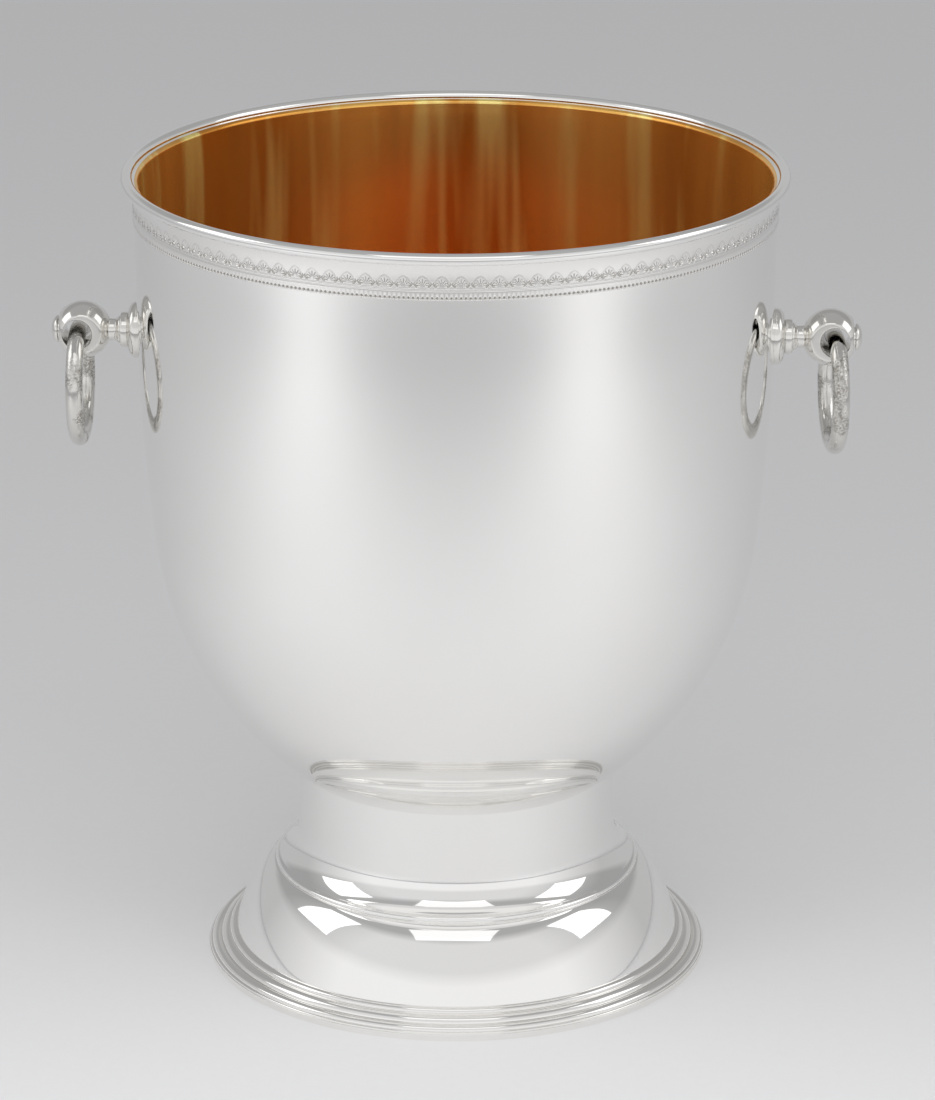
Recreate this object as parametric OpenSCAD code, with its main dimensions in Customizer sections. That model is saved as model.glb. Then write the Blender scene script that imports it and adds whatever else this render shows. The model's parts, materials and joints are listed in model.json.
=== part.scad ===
// Footed silver champagne bucket with a gilt interior and two loose ring handles.
// The origin is on the table, on the axis of the bowl. +Z is up, and the handles stand on the X axis.

/* [Overall] */
// Height from the table to the top of the rim
height = 250; // [245:1:262]
// Radius of the rim, measured to the outside of its wire
rim_r = 100; // [99.5:0.1:101]

/* [Bowl] */
// Outer radius of the wall under the ornamental band
wall_r = 96.25; // [95.8:0.05:96.5]
// Thickness of the silver sheet of the bowl
wall_t = 1.3; // [1:0.1:1.6]
// Thickness that stands for the gilding inside the bowl
gilt_t = 0.25; // [0.2:0.05:0.35]
// Radius of the long curve of the upper wall, in profile
waist_r = 650; // [600:10:700]
// Radius of the round belly, in profile
belly_r = 108; // [104:1:112]
// Radius of the cove that turns the outside of the wall out under the rim
cove_r = 12; // [11:0.5:13]
// Radius of the soft edge inside the rim
lip_r = 1.2; // [1:0.05:1.3]

/* [Rim] */
// Radius of the round wire on the rim
wire_r = 1.75; // [1.7:0.05:1.85]
// Height of the lower edge of the ornamental band, below the top of the rim
band_drop = 14.3; // [13:0.1:16]
// How far the ornamental band stands out from the wall
band_t = 0.35; // [0.3:0.05:0.5]

/* [Foot] */
// Outer radius of the neck between the bowl and the foot
neck_r = 49; // [47:0.5:51]
// Thickness of the sheet of the foot
foot_t = 1.2; // [1:0.1:1.4]
// Outer radius of the foot on the table
base_r = 77.5; // [76.5:0.5:80]

/* [Handles] */
// Height of the handles' common axis
handle_z = 198.5; // [190:0.5:205]
// Radius of the ball of a handle
ball_r = 8.7; // [8.4:0.1:9]
// Half the distance between the two flats of the ball
ball_flat = 6.45; // [6.2:0.05:6.7]
// Radius of the hole across the ball
hole_r = 4.5; // [4.3:0.1:4.7]
// Radius of the bar of a ring
ring_bar_r = 2.65; // [2.5:0.05:2.8]
// Radius of a ring to the middle of its bar
ring_r = 16.75; // [16.5:0.25:18]
// Gap between a ring and the ends of its hole
ring_gap = 0.3; // [0.2:0.05:0.4]
// Angle by which the right ring hangs turned about the upright, its far side towards the bowl
right_ring_turn = 6; // [0:1:7]

/* [Hidden] */
$fn = 96;

// Angles of the bowl's profile, from upright: the straight wall, then the foot of the waist.
lean = 0.4;
waist_lean = 6.5;
// Points in each stretch of the profile.
steps = 14;

// The straight wall runs from the cove down to here.
wall_low_z = 205;
cove_drop = 9;
wall_top_drop = 2.4;
cove_z = height - cove_drop;
wall_top_z = height - wall_top_drop;
wall_low_r = wall_r - (cove_z - wall_low_z) * tan(lean);
// Centres of the three arcs of the profile, from the waist down to the round bottom.
waist_c = [wall_low_r - waist_r * cos(lean), wall_low_z + waist_r * sin(lean)];
belly_c = waist_c + (waist_r - belly_r) * [cos(waist_lean), -sin(waist_lean)];
belly_end = acos((neck_r - belly_c.x) / belly_r);
bottom_r = neck_r / cos(belly_end);
bottom_c = [0, belly_c.y - belly_r * sin(belly_end) + bottom_r * sin(belly_end)];
cove_c = [wall_r + cove_r, cove_z];
cove_turn = asin((wall_top_z - cove_z) / cove_r);
lip_turn = 75;
lip_c = [wall_r - wall_t + lip_r, wall_top_z - lip_r * sin(lip_turn)];

// Rim wire.
wire_c = [rim_r - wire_r, height - wire_r];
band_low_z = height - band_drop;

// Foot: the neck flares out to a small roll, and a crease parts it from the dome below.
flare_r = 12;
flare_z = 41.5;
flare_turn = 61;
roll_r = 1.1;
neck_top_z = height / 3;
flare_end = [neck_r + flare_r * (1 - cos(flare_turn)), flare_z - flare_r * sin(flare_turn)];
roll_c = flare_end + [0.1, -roll_r];
dome_top = roll_c + [1.4, -0.6];
moulding_w = 8.5;
moulding_h = 7.7;
dome_low = [base_r - moulding_w, moulding_h];
foot_low_r = base_r - moulding_w + 1.6;
dome = [dome_top, dome_top + [4.1, -1.7], dome_low + [-3.2, 11.1], dome_low];
// The dome's inner side is this far in, as [radius, height].
dome_inset = foot_t * [1, 0.35];
// Ground of the base moulding, as [distance in from the edge, height], and its reeds, each with a radius too.
ground = [[0, 0], [0, 1.9], [0.9, 2.2], [3.9, 3.5], [6, 5], [6.6, 6], [moulding_w + 1, 6], [moulding_w + 1, 0]];
reeds = [[0.75, 2.1, 0.6], [2.5, 2.5, 1.65], [5.9, 3.6, 2.3], [7.9, 6.1, 1.5]];

// Handles: distances along the handle's axis count from the wall.
collar_r = 8.6;
collar_t = 3;
collar_edge = 0.6;
collar_round = 3.2;
// The collar runs this far in behind the wall. A cone trims it, which touches the wall at the handles' height
// but for a film of solder.
collar_back = 1;
solder_t = 0.03;
cone_fn = 720;
wall_tilt = asin((waist_c.y - handle_z) / waist_r);
collar_cone_r = waist_c.x + waist_r * cos(wall_tilt) + solder_t;
disc_r = 5.3;
disc_soft_r = 4.8;
disc_soft = 0.3;
disc_end = 5.4;
shoulder_r = 4.4;
stem_r = 3.3;
stem_low = 7.4;
stem_flare_r = 3.7;
ball_join = 9.6;
ball_s = 16.9;
hole_s = ball_s + 1.3;
button_r = 4.2;
button_end = 26.4;
button_h = 2.6;
button_neck_r = 3;
button_edge = 0.6;
// Pieces of the knob run into each other by this much.
overlap = 0.1;
wall_at_handle = wall_low_r;
hole_x = wall_at_handle + hole_s;
// A ring hangs from the two end edges of its hole, with the gap between them.
ring_drop = sqrt(pow(ring_r - ring_bar_r, 2) - pow(ball_flat, 2)) + hole_r - ring_gap;

// Points of an arc about c in the profile plane, for angles measured from +r towards +z.
function arc(c, r, a0, a1, n = steps) =
    [for (i = [0:n]) let (a = a0 + (a1 - a0) * i / n) c + r * [cos(a), sin(a)]];

// Points of a cubic curve through the ends of four control points.
function curve(p, n = steps) =
    [for (i = [0:n]) let (t = i / n, u = 1 - t)
        u * u * u * p[0] + 3 * u * u * t * p[1] + 3 * u * t * t * p[2] + t * t * t * p[3]];

// Points of a quarter of an ellipse, from its side to its top.
function quarter(c, half_w, half_h, n = steps) =
    [for (i = [0:n]) let (a = 90 * i / n) c + [half_w * cos(a), half_h * sin(a)]];

// The wall's lines, each set in from its outside by a distance: the cove under the rim, the soft edge inside
// it, and the whole line from the rim down to the axis on either face.
function cove_line(inset) = arc(cove_c, cove_r + inset, 180 - cove_turn, 180, 8);
function lip_line(inset) = arc(lip_c, lip_r + inset - wall_t, 180 - lip_turn, 180, 8);
function below_cove(inset) = concat(
    arc(waist_c, waist_r - inset, -lean, -waist_lean),
    arc(belly_c, belly_r - inset, -waist_lean, -belly_end),
    arc(bottom_c, bottom_r - inset, -belly_end, -90, 8)
);
function outer_line(inset) = concat(cove_line(inset), below_cove(inset));
function inner_line(inset) = concat(lip_line(inset), below_cove(inset));

function reversed(list) = [for (i = [len(list) - 1:-1:0]) list[i]];

// Everything inside the wall's outer line, as a closed outline against the axis.
function filled() = concat(outer_line(0), [[0, height - band_drop], [0, wall_top_z]]);

module bowl_section() {
    polygon(concat(outer_line(0), reversed(inner_line(wall_t))));
}

module lining_section() {
    polygon(concat(inner_line(wall_t), reversed(inner_line(wall_t + gilt_t))));
}

module band_section() {
    polygon(concat(
        cove_line(-band_t),
        [[wall_r + band_t, band_low_z + band_t]],
        [[wall_r - (cove_z - band_low_z) * tan(lean), band_low_z]],
        reversed(cove_line(0))
    ));
}

module foot_outline() {
    polygon(concat(
        [[neck_r - foot_t, neck_top_z], [neck_r, neck_top_z]],
        arc([neck_r + flare_r, flare_z], flare_r, 180, 180 + flare_turn),
        arc(roll_c, roll_r, 75, -30, 6),
        curve(dome),
        [[foot_low_r, 0], [foot_low_r - foot_t, 0]],
        reversed(curve([for (p = dome) p - dome_inset])),
        reversed(arc([neck_r + flare_r - foot_t, flare_z - foot_t / 2], flare_r, 180, 180 + flare_turn))
    ));
}

// Everything inside the lower part of the foot, which the base moulding fits round.
module foot_core() {
    polygon(concat(curve(dome), [[foot_low_r, 0], [foot_low_r, -1], [0, -1], [0, dome_top.y]]));
}

module pedestal_section() {
    difference() {
        foot_outline();
        polygon(filled());
    }
}

// The base moulding is a sloping ground with four reeds, the outermost one over an upright edge.
module moulding_section() {
    difference() {
        union() {
            polygon([for (p = ground) [base_r - p[0], p[1]]]);
            for (reed = reeds) translate([base_r - reed[0], reed[1]]) circle(r = reed[2]);
        }
        foot_core();
    }
}

module bowl() {
    color("gainsboro") rotate_extrude() bowl_section();
}

module gilt_lining() {
    color("darkorange") rotate_extrude() lining_section();
}

module rim_wire() {
    color("whitesmoke")
        rotate_extrude() difference() {
            translate(wire_c) circle(r = wire_r);
            bowl_section();
            lining_section();
            band_section();
        }
}

module palmette_band() {
    color("lightgray") rotate_extrude() band_section();
}

module pedestal_foot() {
    color("gainsboro") rotate_extrude() pedestal_section();
}

module foot_moulding() {
    color("silver") rotate_extrude() moulding_section();
}

// Sets a handle's piece on the right (1) or left (-1) side, its axis outward from the wall.
module on_side(side) {
    mirror([side > 0 ? 0 : 1, 0, 0])
        translate([wall_at_handle, 0, handle_z])
            rotate([0, 90, 0])
                children();
}

// A rounded disc, hollowed at the back to fit round the wall.
module collar(side) {
    cone_half = 2 * collar_r;
    cone_gain = cone_half * tan(wall_tilt);
    color("gainsboro") difference() {
        on_side(side) rotate_extrude() polygon(concat(
            [[0, -collar_back], [collar_r, -collar_back]],
            quarter([collar_r - collar_round, collar_edge], collar_round, collar_t - collar_edge),
            [[0, collar_t]]
        ));
        translate([0, 0, handle_z - cone_half])
            cylinder(
                r1 = collar_cone_r - cone_gain,
                r2 = collar_cone_r + cone_gain,
                h = 2 * cone_half,
                $fn = cone_fn
            );
    }
}

// A stepped disc, a narrow stem and a flattened ball with a hole across it.
module knob(side) {
    disc_h = disc_end - collar_t;
    color("silver") on_side(side) difference() {
        union() {
            translate([0, 0, collar_t]) cylinder(r = disc_soft_r, h = disc_h);
            translate([0, 0, collar_t + disc_soft]) cylinder(r = disc_r, h = disc_h - 2 * disc_soft);
            translate([0, 0, disc_end - overlap])
                cylinder(r1 = shoulder_r, r2 = stem_r, h = stem_low - disc_end + overlap);
            translate([0, 0, stem_low - overlap])
                cylinder(r1 = stem_r, r2 = stem_flare_r, h = ball_join - stem_low + overlap);
            intersection() {
                translate([0, 0, ball_s]) sphere(r = ball_r);
                translate([-2 * ball_r, -ball_flat, 0]) cube([4 * ball_r, 2 * ball_flat, 2 * ball_s]);
            }
        }
        translate([0, 0, hole_s]) rotate([90, 0, 0]) cylinder(r = hole_r, h = 4 * ball_flat, center = true);
        translate([0, 0, button_end - button_h]) cylinder(r = 2 * ball_r, h = 2 * ball_r);
    }
}

// A low domed button on the flat at the outer end of the ball.
module button(side) {
    color("silver") on_side(side)
        translate([0, 0, button_end - button_h]) rotate_extrude() polygon(concat(
            [[0, 0], [button_neck_r, 0], [button_neck_r, button_edge]],
            quarter([0, button_edge], button_r, button_h - button_edge)
        ));
}

// A round bar bent to a circle, hanging through its ball and turned a little about the upright.
module ring(side, turn) {
    color("darkgray")
        translate([side * hole_x, 0, handle_z - ring_drop])
            rotate([0, 90, turn])
                rotate_extrude() translate([ring_r, 0]) circle(r = ring_bar_r);
}

bowl();
gilt_lining();
rim_wire();
palmette_band();
pedestal_foot();
foot_moulding();
collar(-1);  // left_collar
knob(-1);  // left_knob
button(-1);  // left_button
ring(-1, 0);  // left_ring
collar(1);  // right_collar
knob(1);  // right_knob
button(1);  // right_button
ring(1, right_ring_turn);  // right_ring
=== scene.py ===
"""The looks of a footed silver champagne bucket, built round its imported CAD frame.

Lengths are in metres. The origin is on the table, +Z runs up the axis of the bowl, the two handles
stand on the X axis, and the camera looks along +Y.
"""

import json
import math

import bmesh
import bpy
import numpy as np
from mathutils import Matrix, Vector, noise


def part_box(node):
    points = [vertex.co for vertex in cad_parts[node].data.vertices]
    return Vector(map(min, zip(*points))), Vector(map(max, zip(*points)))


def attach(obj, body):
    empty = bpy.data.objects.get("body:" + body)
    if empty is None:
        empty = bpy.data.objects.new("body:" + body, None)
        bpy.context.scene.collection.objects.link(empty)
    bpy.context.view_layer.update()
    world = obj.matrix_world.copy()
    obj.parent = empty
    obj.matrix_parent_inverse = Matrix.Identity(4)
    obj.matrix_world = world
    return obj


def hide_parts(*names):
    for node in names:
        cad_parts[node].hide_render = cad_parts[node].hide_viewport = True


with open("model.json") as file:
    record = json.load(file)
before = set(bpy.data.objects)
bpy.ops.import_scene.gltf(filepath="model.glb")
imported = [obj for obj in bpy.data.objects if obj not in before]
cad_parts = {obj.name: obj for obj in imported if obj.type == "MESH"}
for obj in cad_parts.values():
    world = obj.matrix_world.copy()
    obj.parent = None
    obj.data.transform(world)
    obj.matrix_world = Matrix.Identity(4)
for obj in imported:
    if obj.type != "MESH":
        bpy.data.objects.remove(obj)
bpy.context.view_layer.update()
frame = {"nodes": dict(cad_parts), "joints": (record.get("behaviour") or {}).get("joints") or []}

MM = 0.001
TINY = 1e-6
# Steps round the axis of a large turned piece, and of a small one.
ROUND_STEPS = 320
SMALL_ROUND_STEPS = 160

BUCKET = "bucket"
SIDES = {"left": -1, "right": 1}
JOINTS = {joint["name"]: joint for joint in frame["joints"]}


# ---------------------------------------------------------------- outlines

def seam_outline(node):
    """A turned CAD node's outline as ordered (radius, height) points, read where it meets y = 0, x > 0."""
    mesh = frame["nodes"][node].data
    near = {}
    for edge in mesh.edges:
        ends = [mesh.vertices[i].co for i in edge.vertices]
        if all(abs(p.y) < TINY and p.x > -TINY for p in ends):
            a, b = ((round(max(p.x, 0), 7), round(p.z, 7)) for p in ends)
            if a != b:
                near.setdefault(a, set()).add(b)
                near.setdefault(b, set()).add(a)
    loose = [p for p, others in near.items() if len(others) == 1]
    path = [min(loose or near)]
    while True:
        onward = [p for p in sorted(near[path[-1]]) if p not in path[-2:-1]]
        if not onward or onward[0] == path[0]:
            return np.array(path), not loose
        path.append(onward[0])


def turn_angles(points, closed):
    """The angle an outline turns by at each point, in degrees. An open one's ends count as corners."""
    ahead = np.roll(points, -1, 0) - points
    behind = points - np.roll(points, 1, 0)
    cross = behind[:, 0] * ahead[:, 1] - behind[:, 1] * ahead[:, 0]
    turns = np.degrees(np.arctan2(cross, (ahead * behind).sum(1)))
    if not closed:
        turns[[0, -1]] = 180
    return turns


def smoothed(points, closed, step, corner=30.0, finest_turn=4.0, straight=0.1):
    """A finer outline through the same points, smooth but for its corners. The angles are in degrees."""
    points = np.array(points, float)
    points = points[np.abs(turn_angles(points, closed)) > straight]
    is_corner = np.abs(turn_angles(points, closed)) > corner
    ahead = np.roll(points, -1, 0) - points
    length = np.linalg.norm(ahead, axis=1)
    chord = ahead / length[:, None]
    # The tangent at a point is that of the circle through it and its two neighbours.
    tangent = np.roll(chord, 1, 0) * length[:, None] + chord * np.roll(length, 1)[:, None]
    tangent /= np.linalg.norm(tangent, axis=1)[:, None]
    fine = []
    for i in range(len(points) if closed else len(points) - 1):
        j = (i + 1) % len(points)
        start, end = tangent[i], tangent[j]
        if is_corner[i] and is_corner[j]:
            start = end = chord[i]
        elif is_corner[i]:
            start = 2 * chord[i].dot(end) * chord[i] - end
        elif is_corner[j]:
            end = 2 * chord[i].dot(start) * chord[i] - start
        turned = math.degrees(math.acos(np.clip(start.dot(end), -1, 1)))
        parts = max(math.ceil(length[i] / step), math.ceil(turned / finest_turn), 1)
        for t in np.arange(parts) / parts:
            fine.append(
                (2 * t**3 - 3 * t**2 + 1) * points[i]
                + (t**3 - 2 * t**2 + t) * length[i] * start
                + (3 * t**2 - 2 * t**3) * points[j]
                + (t**3 - t**2) * length[i] * end
            )
    if not closed:
        fine.append(points[-1])
    return np.array(fine)


def arc(centre, radius, start, end, count=12):
    """Points on an arc, for angles in degrees from the first axis towards the second."""
    angles = np.radians(np.linspace(start, end, count + 1))
    return [(centre[0] + radius * math.cos(a), centre[1] + radius * math.sin(a)) for a in angles]


def curve(a, b, c, d, count=12):
    """Points on the cubic curve from a to d with control points b and c."""
    a, b, c, d = (np.array(p) for p in (a, b, c, d))
    share = np.linspace(0, 1, count + 1)
    return [
        tuple((1 - t) ** 3 * a + 3 * (1 - t) ** 2 * t * b + 3 * (1 - t) * t**2 * c + t**3 * d)
        for t in share
    ]


# ---------------------------------------------------------------- meshes

def grid_mesh(rows, wrap_rows, wrap_columns):
    """Vertices and quads of a grid, rows being an array of (row, column, xyz)."""
    count, width = rows.shape[:2]
    index = np.arange(count * width).reshape(count, width)
    down = np.roll(index, -1, 0) if wrap_rows else index[1:]
    up = index if wrap_rows else index[:-1]
    if wrap_columns:
        right_up, right_down = np.roll(up, -1, 1), np.roll(down, -1, 1)
    else:
        up, right_up = up[:, :-1], up[:, 1:]
        down, right_down = down[:, :-1], down[:, 1:]
    quads = np.stack([up, right_up, right_down, down], -1).reshape(-1, 4)
    return rows.reshape(-1, 3), quads


def piece(name, parts, sharp=35.0):
    """A smooth-shaded object from several (vertices, quads) parts, with edges over an angle kept crisp."""
    vertices, faces, offset = [], [], 0
    for some_vertices, some_faces in parts:
        vertices.append(some_vertices)
        faces.append(some_faces + offset)
        offset += len(some_vertices)
    mesh = bpy.data.meshes.new(name)
    mesh.from_pydata(np.concatenate(vertices).tolist(), [], np.concatenate(faces).tolist())
    work = bmesh.new()
    work.from_mesh(mesh)
    bmesh.ops.remove_doubles(work, verts=work.verts, dist=TINY / 10)
    bmesh.ops.recalc_face_normals(work, faces=work.faces)
    work.to_mesh(mesh)
    work.free()
    mesh.shade_smooth()
    mesh.set_sharp_from_angle(angle=math.radians(sharp))
    made = bpy.data.objects.new(name, mesh)
    bpy.context.scene.collection.objects.link(made)
    return made


def turned(outline, closed, steps=ROUND_STEPS):
    """The grid of an outline of (radius, height) points turned about +Z."""
    angles = np.linspace(0, 2 * math.pi, steps, endpoint=False)
    outline = np.array(outline)
    radius, height = outline[:, 0, None], outline[:, 1, None]
    rows = np.stack(
        [radius * np.cos(angles), radius * np.sin(angles), height + 0 * angles], -1
    )
    return grid_mesh(rows, closed, True)


def place(part, matrix):
    """A part with its vertices moved by a matrix."""
    vertices, faces = part
    turn, shift = np.array(matrix.to_3x3()), np.array(matrix.translation)
    return vertices @ turn.T + shift, faces


def dress(made, material, body, slot, *nodes):
    """Gives a piece its material and body, and hides the CAD nodes that it stands for. Its slot is not
    used.
    """
    made.data.materials.append(material)
    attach(made, body)
    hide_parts(*nodes)
    return made


# ---------------------------------------------------------------- materials

def add_node(tree, kind, inputs=None, **settings):
    """A new shader node. An input given as a socket is linked, and any other value is set."""
    made = tree.nodes.new("ShaderNode" + kind)
    for name, value in settings.items():
        setattr(made, name, value)
    for key, value in (inputs or {}).items():
        if isinstance(value, bpy.types.NodeSocket):
            tree.links.new(value, made.inputs[key])
        else:
            made.inputs[key].default_value = value
    return made


def new_material(name):
    """An empty node material and its shader, with the shader already linked."""
    made = bpy.data.materials.new(name)
    made.use_nodes = True
    tree = made.node_tree
    tree.nodes.clear()
    shader = add_node(tree, "BsdfPrincipled")
    add_node(tree, "OutputMaterial", {"Surface": shader.outputs["BSDF"]})
    return made, tree, shader


# The stretch of a noise that is the same along every axis.
EVEN = (1, 1, 1)


def place_noise(tree, stretch, scale, detail=2.0):
    """Smooth noise in the piece's own space, with its coordinates stretched per axis."""
    coordinates = add_node(tree, "TexCoord")
    mapping = add_node(tree, "Mapping", {"Vector": coordinates.outputs["Object"], "Scale": stretch})
    made = add_node(
        tree, "TexNoise", {"Vector": mapping.outputs["Vector"], "Scale": scale, "Detail": detail}
    )
    return made.outputs["Fac"]


def ranged(tree, value, low, high, from_low=0.35, from_high=0.65):
    """A value carried from one range to another, and held there."""
    made = add_node(
        tree,
        "MapRange",
        {"Value": value, "From Min": from_low, "From Max": from_high, "To Min": low, "To Max": high},
    )
    return made.outputs["Result"]


def color_mix(tree, share, a, b):
    """A colour from a, at share 0, to b, at share 1."""
    made = tree.nodes.new("ShaderNodeMix")
    made.data_type = "RGBA"
    factor, first, second = made.inputs[0], made.inputs[6], made.inputs[7]
    for socket, value in ((factor, share), (first, a), (second, b)):
        if isinstance(value, bpy.types.NodeSocket):
            tree.links.new(value, socket)
        else:
            socket.default_value = value
    return made.outputs[2]


def bumped(tree, shader, height, distance, strength=1.0):
    """Sets the shader's normal from a height, in metres at distance 1."""
    made = add_node(tree, "Bump", {"Height": height, "Distance": distance, "Strength": strength})
    tree.links.new(made.outputs["Normal"], shader.inputs["Normal"])
    return made


# Scales of the silver's noises: the clouding of its colour, its dull specks and its slow unevenness.
CLOUDS, SPECKS, WAVES = 18.0, 420.0, 26.0


def silver(name, bright, dull, roughness, rough_spots, bump, tarnish=None):
    """Polished silver: faint clouding, a roughness that varies, and a slightly uneven surface."""
    made, tree, shader = new_material(name)
    clouds = place_noise(tree, EVEN, CLOUDS, 3.0)
    specks = place_noise(tree, EVEN, SPECKS, 3.0)
    color = color_mix(tree, ranged(tree, clouds, 0.0, 0.5), bright, dull)
    if tarnish:
        held = add_node(tree, "Attribute", attribute_name="tarnish")
        color = color_mix(tree, held.outputs["Fac"], color, tarnish)
    tree.links.new(color, shader.inputs["Base Color"])
    shader.inputs["Metallic"].default_value = 1.0
    tree.links.new(
        ranged(tree, specks, roughness, roughness + rough_spots, 0.4, 0.75),
        shader.inputs["Roughness"],
    )
    bumped(tree, shader, place_noise(tree, EVEN, WAVES, 1.0), bump)
    return made


def gilding():
    """Gilt silver: upright streaks of deeper and brighter gold, partly the gilt's own uneven tone and
    partly painted highlights, crossed by fine spinning lines.
    """
    made, tree, shader = new_material("gilding")
    coordinates = add_node(tree, "TexCoord")
    split = add_node(tree, "SeparateXYZ", {"Vector": coordinates.outputs["Object"]})
    lines_noise = {"W": split.outputs["Z"], "Scale": 900.0, "Detail": 3.0}
    lines = add_node(tree, "TexNoise", lines_noise, noise_dimensions="1D")
    # Streaks stand upright because their noise is drawn out along Z. The narrow pale ones are painted
    # highlight streaks.
    broad = place_noise(tree, (1, 1, 0.10), 24.0, 2.0)
    highlight_streaks = place_noise(tree, (1, 1, 0.06), 95.0, 2.0)
    deep, warm, pale = (0.66, 0.27, 0.04, 1), (0.98, 0.57, 0.15, 1), (1.0, 0.82, 0.30, 1)
    tone = color_mix(tree, ranged(tree, broad, 0, 1, 0.38, 0.6), deep, warm)
    # Painted highlights: pale gold in narrow upright streaks.
    tone = color_mix(tree, ranged(tree, highlight_streaks, 0, 1, 0.52, 0.66), tone, pale)
    tree.links.new(tone, shader.inputs["Base Color"])
    # Fine scratches scatter part of the light, which keeps the deep inside from going black.
    shader.inputs["Metallic"].default_value = 0.84
    shader.inputs["Anisotropic"].default_value = 0.7
    tree.links.new(ranged(tree, highlight_streaks, 0.10, 0.24), shader.inputs["Roughness"])
    around = add_node(tree, "Tangent", direction_type="RADIAL", axis="Z")
    tree.links.new(around.outputs["Tangent"], shader.inputs["Tangent"])
    bumped(tree, shader, lines.outputs["Fac"], 0.00002)
    return made


def ring_silver():
    """Cast silver with small pits, which are dark and dull."""
    made, tree, shader = new_material("ring_silver")
    grain = place_noise(tree, EVEN, 1500.0, 4.0)
    patches = place_noise(tree, EVEN, 90.0, 1.0)
    pitted = ranged(tree, patches, 0.0, 1.0, 0.4, 0.6)
    pits = add_node(tree, "Math", {0: grain, 1: pitted}, operation="MULTIPLY")
    bright, dark = (0.74, 0.73, 0.70, 1), (0.36, 0.34, 0.31, 1)
    color = color_mix(tree, ranged(tree, pits.outputs[0], 0, 1, 0.35, 0.65), bright, dark)
    tree.links.new(color, shader.inputs["Base Color"])
    shader.inputs["Metallic"].default_value = 1.0
    tree.links.new(ranged(tree, pits.outputs[0], 0.08, 0.4, 0.3, 0.6), shader.inputs["Roughness"])
    bumped(tree, shader, pits.outputs[0], -0.00012)
    return made


# ---------------------------------------------------------------- the bowl, its lining and the foot

def turned_piece(name, node, material, slot, step):
    """A CAD node's own outline, smoothed and turned."""
    outline, closed = seam_outline(node)
    part = turned(smoothed(outline, closed, step), closed)
    return dress(piece(name, [part]), material, BUCKET, slot, node)


def rim_roll(material):
    """The round wire on the rim."""
    low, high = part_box("rim_wire")
    radius = (high.z - low.z) / 2
    outline = arc((high.x - radius, high.z - radius), radius, 0, 360, 48)[:-1]
    return dress(piece("rim_roll", [turned(outline, True)]), material, BUCKET, "silver_sheet", "rim_wire")


# ---------------------------------------------------------------- the chased band

PALMETTES = 112
PITS_PER_PALMETTE = 4
COLUMNS_PER_PALMETTE = 36
RELIEF = 0.22 * MM
# Heights over the floor, from below: the row of pits, a fine line and the frieze of palmettes.
PIT_HEIGHT = 236.55 * MM
PIT_RADIUS = 0.46 * MM
FINE_LINE = 238.7 * MM
LINE_HALF_WIDTH = 0.14 * MM
FRIEZE_LOW = 239.3 * MM
FRIEZE_HIGH = 243.8 * MM
# The band's lower edge is bevelled by this much, and its grid ends this far under its top.
EDGE_RISE, EDGE_DEPTH = 0.15 * MM, 0.35 * MM
TOP_GAP = 0.2 * MM

# A palmette, from its foot up: the heart that its veins fan out from, and the veins' turn and ends.
HEART_UP = 0.9 * MM
VEIN_TURN, LAST_VEIN = 30.0, 100.0
VEIN_FROM, VEIN_TO = 0.62 * MM, 2.0 * MM
# The faint pointed arch over the veins.
ARCH_REACH, ARCH_SLOPE, ARCH_TURN, ARCH_DEPTH = 2.95 * MM, 0.35, 62.0, 0.35
# The scroll at each side, by its distance out, height and radius, and the bracket, from the tile's edge in.
SCROLL_OUT, SCROLL_UP, SCROLL_RADIUS = 1.62 * MM, 0.95 * MM, 0.52 * MM
SCROLL_FROM = 1.45 * MM
BRACKET_IN, BRACKET_UP, BRACKET_RADIUS = 0.95 * MM, 1.3 * MM, 0.72 * MM
BRACKET_WIDTH = 0.5 * MM
FOOT_UP, FOOT_DEPTH = 0.12 * MM, 0.4


def rounded_ridge(distance, half_width):
    """1 on a line's middle, falling to 0 at its half width, in a round section."""
    share = np.clip(np.abs(distance) / half_width, 0, 1)
    return np.sqrt(1 - share**2)


def palmette_cuts(across, up, pitch):
    """How deep the chased lines are, 0 to 1, at a place in one palmette's tile, in metres from its foot."""
    side = np.abs(across)
    over_heart = up - HEART_UP
    angle = np.degrees(np.arctan2(side, over_heart))
    reach = np.hypot(side, over_heart)
    off_vein = np.radians((angle + VEIN_TURN / 2) % VEIN_TURN - VEIN_TURN / 2)
    veins = rounded_ridge(reach * off_vein, 0.06 * MM + 0.05 * reach)
    veins *= (reach > VEIN_FROM) * (reach < VEIN_TO) * (angle < LAST_VEIN)
    arch = ARCH_DEPTH * rounded_ridge(reach + ARCH_SLOPE * side - ARCH_REACH, 0.2 * MM)
    arch *= angle < ARCH_TURN
    scroll = rounded_ridge(np.hypot(side - SCROLL_OUT, up - SCROLL_UP) - SCROLL_RADIUS, 0.2 * MM)
    scroll *= side > SCROLL_FROM
    bracket_out = pitch / 2 - BRACKET_IN
    bracket = rounded_ridge(np.hypot(side - bracket_out, up - BRACKET_UP) - BRACKET_RADIUS, 0.17 * MM)
    bracket *= side > pitch / 2 - BRACKET_WIDTH
    foot = FOOT_DEPTH * rounded_ridge(up - FOOT_UP, LINE_HALF_WIDTH) + 0 * side
    return np.maximum.reduce([veins, arch, scroll, bracket, foot])


def outer_radius(outline, heights):
    """The radius of a band's outer face at each height, from the points that stand off the wall."""
    levels = np.unique(outline[:, 1])
    outermost = [outline[outline[:, 1] == z, 0].max() for z in levels]
    kept = [i for i, r in enumerate(outermost) if i == 0 or r >= max(outermost[:i])]
    return np.interp(heights, levels[kept], np.array(outermost)[kept])


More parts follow.
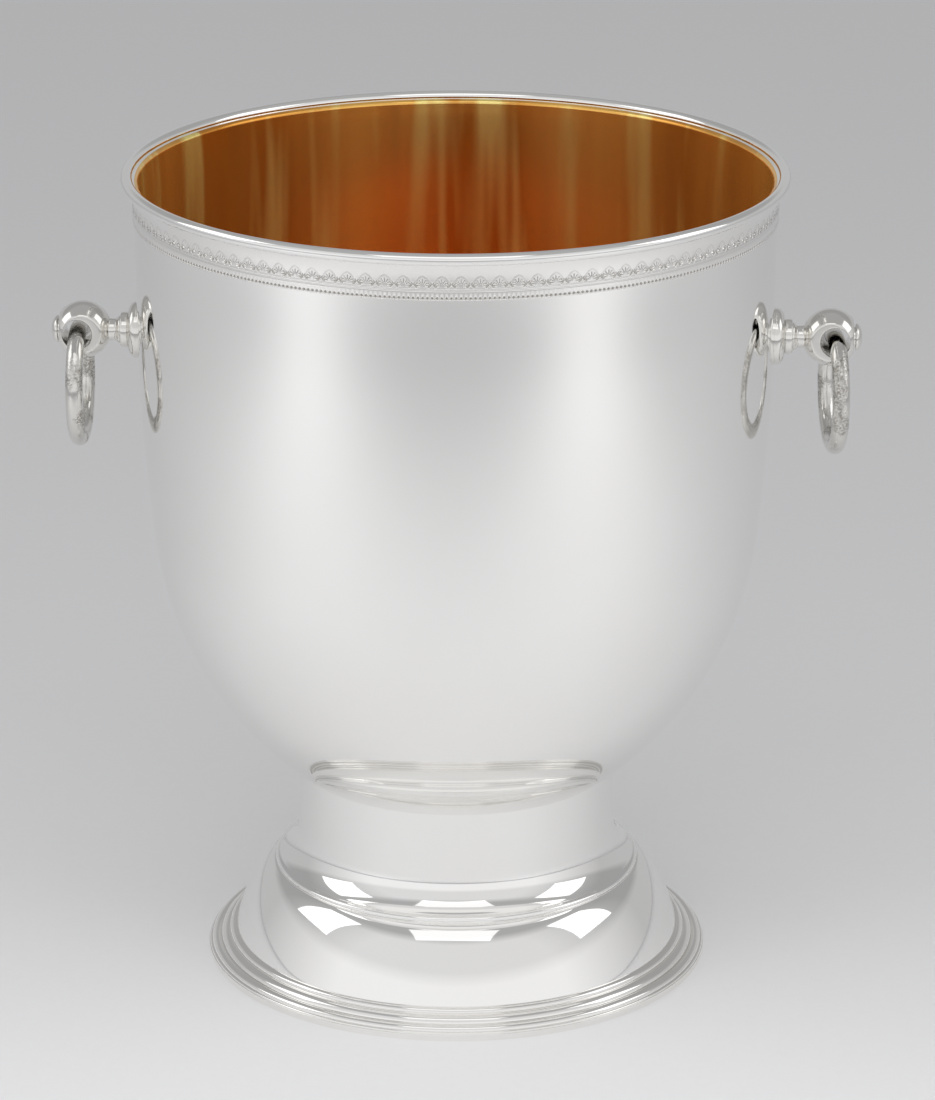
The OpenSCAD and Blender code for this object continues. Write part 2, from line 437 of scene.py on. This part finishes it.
def band_heights(low, high):
    """The heights of the band's grid rows, close together only where the surface is chased."""
    return np.concatenate([
        [low, low + EDGE_RISE],
        np.linspace(PIT_HEIGHT - PIT_RADIUS, PIT_HEIGHT + PIT_RADIUS, 8),
        [FINE_LINE - 0.5 * MM],
        np.linspace(FINE_LINE - 0.15 * MM, FINE_LINE + 0.15 * MM, 3),
        np.linspace(FRIEZE_LOW, FRIEZE_HIGH, 26),
        np.linspace(FRIEZE_HIGH, high - TOP_GAP, 6)[1:],
    ])


def centred(along, pitch):
    """The distance from the middle of the tile that a place along the band lies in."""
    return (along + pitch / 2) % pitch - pitch / 2


def chased_band(material):
    """The ornamental band: its palmettes, a fine line under them and a row of punched pits."""
    low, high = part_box("palmette_band")
    heights = band_heights(low.z, high.z)
    radius = outer_radius(seam_outline("palmette_band")[0], heights)
    radius[0] -= EDGE_DEPTH
    angles = np.linspace(0, 2 * math.pi, PALMETTES * COLUMNS_PER_PALMETTE, endpoint=False)
    around = angles[None, :] * radius.mean()
    pitch = 2 * math.pi * radius.mean() / PALMETTES
    level = heights[:, None]
    in_frieze = (level > FRIEZE_LOW + TINY) & (level < FRIEZE_HIGH - TINY)
    cuts = np.where(in_frieze, palmette_cuts(centred(around, pitch), level - FRIEZE_LOW, pitch), 0)
    pit_across = centred(around, pitch / PITS_PER_PALMETTE)
    pit = rounded_ridge(np.hypot(pit_across, level - PIT_HEIGHT), PIT_RADIUS)
    line = np.clip(1 - np.abs(level - FINE_LINE) / LINE_HALF_WIDTH, 0, 1) + 0 * around
    radii = radius[:, None] - RELIEF * (cuts + 1.2 * pit + 0.3 * line)
    rows = np.stack([radii * np.cos(angles), radii * np.sin(angles), level + 0 * around], -1)
    made = piece("chased_band", [grid_mesh(rows, False, True)], sharp=60)
    tarnish = made.data.attributes.new("tarnish", "FLOAT", "POINT")
    tarnish.data.foreach_set("value", np.clip(0.6 * cuts + 0.8 * pit + 0.15 * line, 0, 1).ravel())
    return dress(made, material, BUCKET, "chased_silver", "palmette_band")


# ---------------------------------------------------------------- the handles

# The ball's centre lies this far inward of its hole's.
BALL_INSET = 1.3 * MM


def knob_parts():
    """The stepped stem and the pierced ball of one handle, along +Z from the disc's inner face."""
    low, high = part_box("right_knob")
    hole_at = JOINTS["right_ring_swing"]["pos_m"][0] - low.x
    disc, disc_end, soft = 5.3 * MM, 2.4 * MM, 0.45 * MM
    stem, stem_at, into_ball = 3.3 * MM, 4.4 * MM, 7.2 * MM
    outline = [(0, 0), (disc - soft, 0)]
    outline += arc((disc - soft, soft), soft, -90, 0, 6)[1:]
    outline += arc((disc - soft, disc_end - soft), soft, 0, 90, 6)
    outline += curve(
        (disc - 2 * soft, disc_end),
        (disc - 2.4 * soft, disc_end + 2 * soft),
        (stem, stem_at - 2.4 * soft),
        (stem, stem_at),
    )
    outline += curve(
        (stem, stem_at), (stem, stem_at + 1 * MM), (stem, into_ball - 1 * MM), (stem + 0.8 * MM, into_ball)
    )[1:]
    outline += [(0, into_ball)]
    shank = turned(smoothed(outline, False, 0.3 * MM), False, SMALL_ROUND_STEPS)
    ball_radius = (high.z - low.z) / 2
    return [shank, pierced_ball(ball_radius, high.y, hole_at - BALL_INSET, hole_at, high.x - low.x)]


def pierced_ball(radius, flat, ball_at, hole_at, end):
    """A ball with two flats and a hole from one to the other, its stem along +Z and its hole along Y."""
    hole_radius = 4.5 * MM
    hole_soft, end_soft = 0.35 * MM, 0.25 * MM
    offset = hole_at - ball_at
    angles = np.linspace(0, 2 * math.pi, 2 * SMALL_ROUND_STEPS, endpoint=False)
    hole_edge = offset * np.cos(angles) + np.sqrt(hole_radius**2 - (offset * np.sin(angles)) ** 2)
    flat_edge = math.sqrt(radius**2 - flat**2)
    width = flat_edge - hole_edge
    soft = np.minimum(hole_soft, 0.4 * width)
    rows = []
    # From the middle of the hole out over its edge, the flat, the rounded edge and the ball, then back.
    for t in np.linspace(0, 1, 8):
        rows.append((hole_edge, (flat - soft) * t))
    for a in np.radians(np.linspace(0, 90, 7)[1:]):
        rows.append((hole_edge + soft * (1 - np.cos(a)), flat - soft + soft * np.sin(a)))
    for t in np.linspace(0, 1, 5)[1:-1]:
        rows.append((hole_edge + soft + (width - 2 * soft) * t, flat + 0 * soft))
    lean = math.degrees(math.asin(flat / radius))
    outer_angle = np.radians(lean) - soft / radius * 1.2
    inner = np.stack([flat_edge - soft + 0 * angles, flat + 0 * angles])
    corner = np.stack([flat_edge + 0 * angles, flat + 0 * angles])
    outer = np.stack([radius * np.cos(outer_angle), radius * np.sin(outer_angle)])
    for a in np.linspace(90, lean, 7):
        bend = (90 - a) / (90 - lean)
        spot = (1 - bend) ** 2 * inner + 2 * (1 - bend) * bend * corner + bend**2 * outer
        rows.append((spot[0], spot[1]))
    for t in np.linspace(1, 0, 25)[1:]:
        at = outer_angle * t
        rows.append((radius * np.cos(at), radius * np.sin(at)))
    half = [(np.broadcast_to(r, angles.shape), np.broadcast_to(y, angles.shape)) for r, y in rows]
    whole = half + [(r, -y) for r, y in half[-2:0:-1]]
    grid = []
    for r, y in whole:
        along, across = r * np.cos(angles), r * np.sin(angles)
        # The ball is cut off where the button sits, over a soft edge.
        over = along - (end - ball_at)
        on_ball = r > hole_edge + 0.5 * width
        along = along - 0.5 * (over + np.sqrt(over**2 + end_soft**2)) * on_ball
        grid.append(np.stack([across, y, along + ball_at], -1))
    return grid_mesh(np.array(grid), True, True)


def button_part():
    """The low domed button on the end of the ball, along +Z from the button's own inner face."""
    low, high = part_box("right_button")
    radius, tall = (high.z - low.z) / 2, high.x - low.x
    neck, edge = 0.75 * radius, 0.25 * tall
    outline = [(0, 0), (neck, 0), (neck, 0.6 * edge), (radius - 0.15 * MM, 0.8 * edge)]
    outline += [(r * radius, edge + h * (tall - edge)) for r, h in arc((0, 0), 1, 0, 90, 20)]
    return turned(smoothed(outline, False, 0.2 * MM), False, SMALL_ROUND_STEPS)


def collar_part():
    """The rounded disc against the wall, along +Z from its own inner face."""
    low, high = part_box("right_collar")
    radius, tall = (high.z - low.z) / 2, high.x - low.x
    fall, edge = 3.2 * MM, tall - 2.4 * MM
    outline = [(0, 0), (radius - 0.1 * MM, 0)]
    outline += [(radius - fall * (1 - r), edge + h * (tall - edge)) for r, h in arc((0, 0), 1, 0, 90, 20)]
    outline += [(0, tall)]
    return turned(smoothed(outline, False, 0.3 * MM), False, SMALL_ROUND_STEPS)


# The steps around a ring and around its bar, and how much of the bar is worn away on average.
RING_STEPS, BAR_STEPS = 240, 64
WEAR = 0.02


def ring_part(side_name):
    """One ring: a slightly uneven round bar, bent to a circle and turned as its CAD node is."""
    plain_low, plain_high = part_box("left_ring")
    low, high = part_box(side_name + "_ring")
    bar = (plain_high.x - plain_low.x) / 2
    radius = (high.z - low.z) / 2 - bar
    turn = math.asin(max((high.x - low.x) / 2 - bar, 0) / radius)
    around = np.linspace(0, 2 * math.pi, RING_STEPS, endpoint=False)
    across = np.linspace(0, 2 * math.pi, BAR_STEPS, endpoint=False)
    grid = np.empty((RING_STEPS, BAR_STEPS, 3))
    for i, a in enumerate(around):
        for j, b in enumerate(across):
            wave = (3 * math.cos(a), 3 * math.sin(a), 1.2 * math.cos(b) + 5 * SIDES[side_name])
            thin = bar * (1 - WEAR - WEAR * noise.noise(Vector(wave)))
            out = radius + thin * math.cos(b)
            grid[i, j] = (thin * math.sin(b), out * math.cos(a), out * math.sin(a))
    placing = Matrix.Translation((low + high) / 2) @ Matrix.Rotation(turn, 4, "Z")
    return place(grid_mesh(grid, True, True), placing)


def handle_matrix(side, inner):
    """Carries a part from +Z onto a handle's axis, inner metres out, on the right (1) or left (-1)."""
    height = JOINTS["right_ring_swing"]["pos_m"][2]
    outward = Matrix.Rotation(side * math.pi / 2, 4, "Y")
    return Matrix.Translation((side * inner, 0, height)) @ outward


def handles(material, ring_material):
    """Both handles, each a collar, a knob, a button and a ring."""
    for name, side in SIDES.items():
        parts = {
            "collar": ("wall_disc", [collar_part()]),
            "knob": ("pierced_knob", knob_parts()),
            "button": ("end_button", [button_part()]),
        }
        for node, (title, shapes) in parts.items():
            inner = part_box("right_" + node)[0].x
            moved = [place(shape, handle_matrix(side, inner)) for shape in shapes]
            made = piece(f"{name}_{title}", moved)
            dress(made, material, BUCKET, "cast_silver", f"{name}_{node}")
        ring = piece(f"{name}_hanging_ring", [ring_part(name)])
        dress(ring, ring_material, f"{name}_ring", "ring_silver", f"{name}_ring")


# ---------------------------------------------------------------- stage, lights and camera

def floor():
    """A pale plain floor."""
    made, tree, shader = new_material("pale_paper")
    grain = place_noise(tree, EVEN, 300.0, 2.0)
    color = color_mix(tree, grain, (0.80, 0.80, 0.805, 1), (0.82, 0.82, 0.825, 1))
    tree.links.new(color, shader.inputs["Base Color"])
    shader.inputs["Roughness"].default_value = 0.9
    shader.inputs["Specular IOR Level"].default_value = 0.1
    half = 8.0
    mesh = bpy.data.meshes.new("floor")
    corners = [(-half, -half, 0), (half, -half, 0), (half, half, 0), (-half, half, 0)]
    mesh.from_pydata(corners, [], [(0, 1, 2, 3)])
    mesh.materials.append(made)
    sheet = bpy.data.objects.new("floor", mesh)
    bpy.context.scene.collection.objects.link(sheet)


def softbox(name, azimuth, distance, height, aim, size, power):
    """A rectangular area light. Azimuth 0 is the camera's side, and positive is towards +X."""
    data = bpy.data.lights.new(name, "AREA")
    data.shape = "RECTANGLE"
    data.size, data.size_y = size
    data.energy = power
    made = bpy.data.objects.new(name, data)
    bpy.context.scene.collection.objects.link(made)
    turn = math.radians(azimuth)
    made.location = (distance * math.sin(turn), -distance * math.cos(turn), height)
    made.rotation_euler = (Vector(aim) - made.location).to_track_quat("-Z", "Y").to_euler()
    made.visible_camera = False
    return made


# The room's light in bands: lowest and highest elevation in degrees, brightness in front and behind.
ROOM_BANDS = [(0, 20, 0.90, 0.50), (20, 50, 0.74, 0.36), (50, 90, 0.42, 0.42)]
BAND_BLUR = 0.06


def room_light(tree):
    """The room's brightness for each direction, from its bands, which run into each other softly."""
    coordinates = add_node(tree, "TexCoord")
    split = add_node(tree, "SeparateXYZ", {"Vector": coordinates.outputs["Generated"]})
    total = 0.0
    for low, high, front, back in ROOM_BANDS:
        face = ranged(tree, split.outputs["Y"], front, back, -0.5, 0.5)
        foot, head = math.sin(math.radians(low)), math.sin(math.radians(high))
        above = below = 1.0
        if low > 0:
            above = ranged(tree, split.outputs["Z"], 0, 1, foot - BAND_BLUR, foot + BAND_BLUR)
        if high < 90:
            below = ranged(tree, split.outputs["Z"], 1, 0, head - BAND_BLUR, head + BAND_BLUR)
        held = add_node(tree, "Math", {0: above, 1: below}, operation="MULTIPLY").outputs[0]
        lit = add_node(tree, "Math", {0: held, 1: face}, operation="MULTIPLY").outputs[0]
        total = add_node(tree, "Math", {0: total, 1: lit}, operation="ADD").outputs[0]
    return total


def room():
    """Soft studio light: a pool on the floor at each side in front, three softboxes and a pale room."""
    for side, name in ((-1, "left"), (1, "right")):
        pool = softbox(
            name + "_pool_light",
            azimuth=48 * side,
            distance=0.62,
            height=0.32,
            aim=(0.40 * side, -0.36, 0),
            size=(0.32, 0.9),
            power=1.0,
        )
        pool.visible_glossy = False
        softbox(
            name + "_softbox",
            azimuth=90 * side,
            distance=1.0,
            height=0.8,
            aim=(0, 0, 0.1),
            size=(0.6, 0.6),
            power=1.0,
        )
    softbox(
        "front_softbox",
        azimuth=0,
        distance=0.8,
        height=1.4,
        aim=(0, -0.2, 0),
        size=(1.0, 0.6),
        power=1.2,
    )
    world = bpy.data.worlds.new("studio")
    bpy.context.scene.world = world
    world.use_nodes = True
    tree = world.node_tree
    tree.nodes.clear()
    light = {"Color": (1.0, 1.0, 1.01, 1), "Strength": room_light(tree)}
    background = add_node(tree, "Background", light)
    add_node(tree, "OutputWorld", {"Surface": background.outputs["Background"]})


def camera():
    """The camera at the photograph's viewing angle."""
    azimuth, pitch, distance = math.radians(2.2), math.radians(18.75), 1.503
    target = Vector((0, 0, 0.1293))
    right = Vector((math.cos(azimuth), math.sin(azimuth), 0))
    level = math.cos(pitch)
    back = Vector((math.sin(azimuth) * level, -math.cos(azimuth) * level, math.sin(pitch)))
    data = bpy.data.cameras.new("photo_camera")
    data.sensor_fit = "VERTICAL"
    data.sensor_height = 36
    data.lens = 160.56
    data.clip_start, data.clip_end = 0.05, 50
    made = bpy.data.objects.new("photo_camera", data)
    bpy.context.scene.collection.objects.link(made)
    # The camera stands a little to the right, so that the bucket sits left of the picture's middle.
    made.location = target + back * distance + right * 3.5 * MM
    made.rotation_euler = back.to_track_quat("Z", "Y").to_euler()
    bpy.context.scene.camera = made


sheet_silver = silver(
    "polished_silver",
    bright=(0.95, 0.945, 0.93, 1),
    dull=(0.92, 0.91, 0.89, 1),
    roughness=0.035,
    rough_spots=0.03,
    bump=0.00006,
)
moulded_silver = silver(
    "moulded_silver",
    bright=(0.94, 0.93, 0.91, 1),
    dull=(0.88, 0.86, 0.82, 1),
    roughness=0.05,
    rough_spots=0.06,
    bump=0.00005,
)
cast_silver = silver(
    "cast_silver",
    bright=(0.88, 0.87, 0.84, 1),
    dull=(0.66, 0.64, 0.60, 1),
    roughness=0.06,
    rough_spots=0.08,
    bump=0.00004,
)
chased_silver = silver(
    "chased_silver",
    bright=(0.94, 0.93, 0.91, 1),
    dull=(0.90, 0.89, 0.86, 1),
    roughness=0.08,
    rough_spots=0.08,
    bump=0.00003,
    tarnish=(0.20, 0.17, 0.13, 1),
)

turned_piece("spun_bowl", "bowl", sheet_silver, "silver_sheet", 2 * MM)
turned_piece("gilded_inside", "gilt_lining", gilding(), "gilding", 2 * MM)
turned_piece("pedestal", "pedestal_foot", sheet_silver, "silver_sheet", 1 * MM)
turned_piece("base_moulding", "foot_moulding", moulded_silver, "moulded_silver", 0.5 * MM)
rim_roll(sheet_silver)
chased_band(chased_silver)
handles(cast_silver, ring_silver())

floor()
room()
camera()
bpy.context.scene.view_settings.view_transform = "Standard"

bpy.context.view_layer.update()
